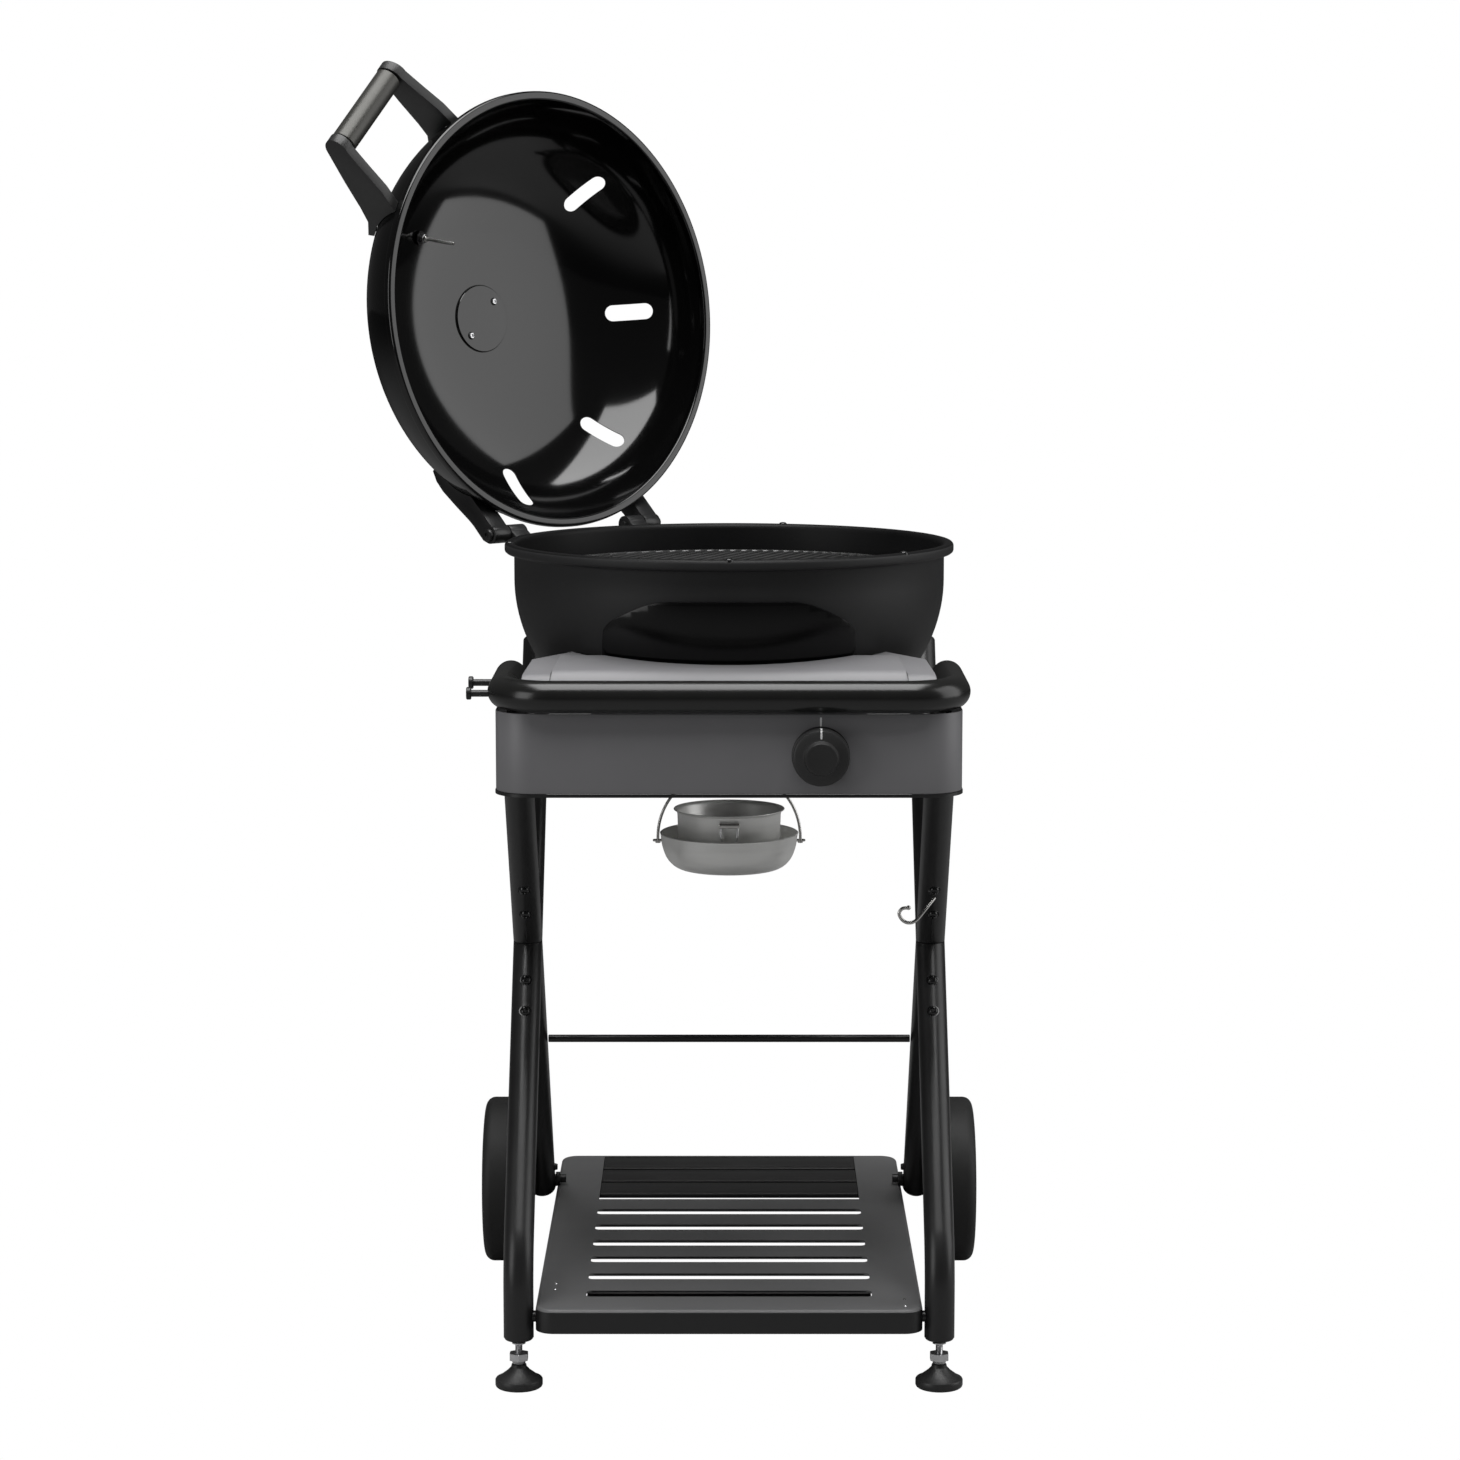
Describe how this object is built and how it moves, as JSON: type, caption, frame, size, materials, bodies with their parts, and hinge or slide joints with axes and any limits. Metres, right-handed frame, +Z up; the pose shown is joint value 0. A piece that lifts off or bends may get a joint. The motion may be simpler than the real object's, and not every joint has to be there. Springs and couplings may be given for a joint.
{
  "type": "gas kettle grill",
  "caption": "Round kettle grill on a wheeled tube cart with crossed legs, bottom shelf, front console with handle rail and knob, lid hinged open at the back left.",
  "frame": {"origin": "on the floor, under the middle of the whole object's box with its lid open", "axes": "+Z up, the cook stands at -Y facing +Y, +X to the cook's right"},
  "size_m": [0.7361, 0.7201, 1.4044],
  "materials": {
    "black_coat": "black powder coat",
    "grey_coat": "grey powder coat, satin",
    "enamel": "black porcelain enamel, gloss",
    "steel": "satin steel",
    "cast_iron": "dark cast metal",
    "rubber": "matt black",
    "plastic": "matt black, glass-filled",
    "grip": "dark satin",
    "brass": "plain"
  },
  "bodies": {
    "cart": {"left_upper_front_leg": "black_coat", "right_upper_front_leg": "black_coat", "left_upper_rear_leg": "black_coat", "right_upper_rear_leg": "black_coat", "left_lower_front_leg": "black_coat", "right_lower_front_leg": "black_coat", "left_lower_rear_leg": "black_coat", "right_lower_rear_leg": "black_coat", "rear_crossbar": "black_coat", "handle_rail": "black_coat", "base_trim": "black_coat", "kettle_front_bracket": "black_coat", "rear_support_bar": "black_coat", "kettle_rear_bracket": "black_coat", "left_hinge_bracket": "black_coat", "right_hinge_bracket": "black_coat", "rear_tool_peg": "black_coat", "front_tool_peg": "black_coat", "left_cross_joiner": "cast_iron", "right_cross_joiner": "cast_iron", "burner_ring": "cast_iron", "left_wheel_axle": "steel", "right_wheel_axle": "steel", "left_hinge_pin": "steel", "right_hinge_pin": "steel", "leg_hook": "steel", "ignition_lead": "rubber", "left_leg_plug": "plastic", "right_leg_plug": "plastic", "shelf_rear_panel": "plastic", "bottom_shelf": "grey_coat", "fascia": "grey_coat", "console_top": "grey_coat", "gas_valve": "brass", "kettle_bowl": "enamel"},
    "lid": {"lid_shell": "enamel", "lid_inner_plate": "enamel", "thermometer": "steel", "left_handle_arm": "plastic", "right_handle_arm": "plastic", "handle_grip": "grip", "left_hinge_arm": "black_coat", "right_hinge_arm": "black_coat"},
    "needle": {"thermometer_needle": "rubber"},
    "left_wheel": {"left_tyre": "rubber", "left_wheel_hub": "plastic"},
    "right_wheel": {"right_tyre": "rubber", "right_wheel_hub": "plastic"},
    "left_foot": {"left_foot_stud": "steel", "left_foot_pad": "rubber"},
    "right_foot": {"right_foot_stud": "steel", "right_foot_pad": "rubber"},
    "stem": {"valve_stem": "steel"},
    "knob": {"control_knob": "plastic"},
    "cone": {"heat_cone": "enamel"},
    "grid": {"cooking_grid": "steel"},
    "bail": {"grease_bail": "steel"},
    "tray": {"grease_tray": "steel"},
    "cup": {"grease_cup": "steel"}
  },
  "joints": [
    {"name": "lid_hinge", "type": "hinge", "parent": "cart", "child": "lid", "pos_m": [-0.10444, 0.13299, 0.88], "axis": [-0.7034, -0.7108, 0], "range_deg": [-95.5, 0]},
    {"name": "needle_turn", "type": "hinge", "parent": "lid", "child": "needle", "pos_m": [-0.28245, 0.17614, 1.21024], "axis": [-0.8487, 0.5099, 0.1406], "range_deg": [-270, 0]},
    {"name": "left_wheel_spin", "type": "hinge", "parent": "cart", "child": "left_wheel", "pos_m": [-0.1941, 0.20526, 0.0971], "axis": [1, 0, 0], "continuous": true},
    {"name": "right_wheel_spin", "type": "hinge", "parent": "cart", "child": "right_wheel", "pos_m": [0.3409, 0.20526, 0.0971], "axis": [1, 0, 0], "continuous": true},
    {"name": "left_foot_adjust", "type": "slide", "parent": "cart", "child": "left_foot", "axis": [0, 0, 1], "range_m": [-0.01, 0.006]},
    {"name": "right_foot_adjust", "type": "slide", "parent": "cart", "child": "right_foot", "axis": [0, 0, 1], "range_m": [-0.01, 0.006]},
    {"name": "knob_push", "type": "slide", "parent": "cart", "child": "stem", "axis": [0, 1, 0], "range_m": [0, 0.004], "stiffness_N_per_m": 600, "springref_m": -0.004},
    {"name": "knob_turn", "type": "hinge", "parent": "stem", "child": "knob", "pos_m": [0.1679, -0.327, 0.683], "axis": [0, 1, 0], "range_deg": [0, 210]},
    {"name": "cone_lift", "type": "slide", "parent": "cart", "child": "cone", "axis": [0, 0, 1], "range_m": [0, 0.1]},
    {"name": "grid_lift", "type": "slide", "parent": "cone", "child": "grid", "axis": [0, 0, 1], "range_m": [0, 0.15]},
    {"name": "bail_swing", "type": "hinge", "parent": "cart", "child": "bail", "pos_m": [0.0734, -0.043, 0.628], "axis": [1, 0, 0], "range_deg": [-15, 15]},
    {"name": "tray_tilt", "type": "hinge", "parent": "bail", "child": "tray", "pos_m": [0.0734, -0.043, 0.5515], "axis": [1, 0, 0], "range_deg": [-6, 6]},
    {"name": "cup_lift", "type": "slide", "parent": "tray", "child": "cup", "axis": [0, 0, 1], "range_m": [0, 0.01]}
  ]
}
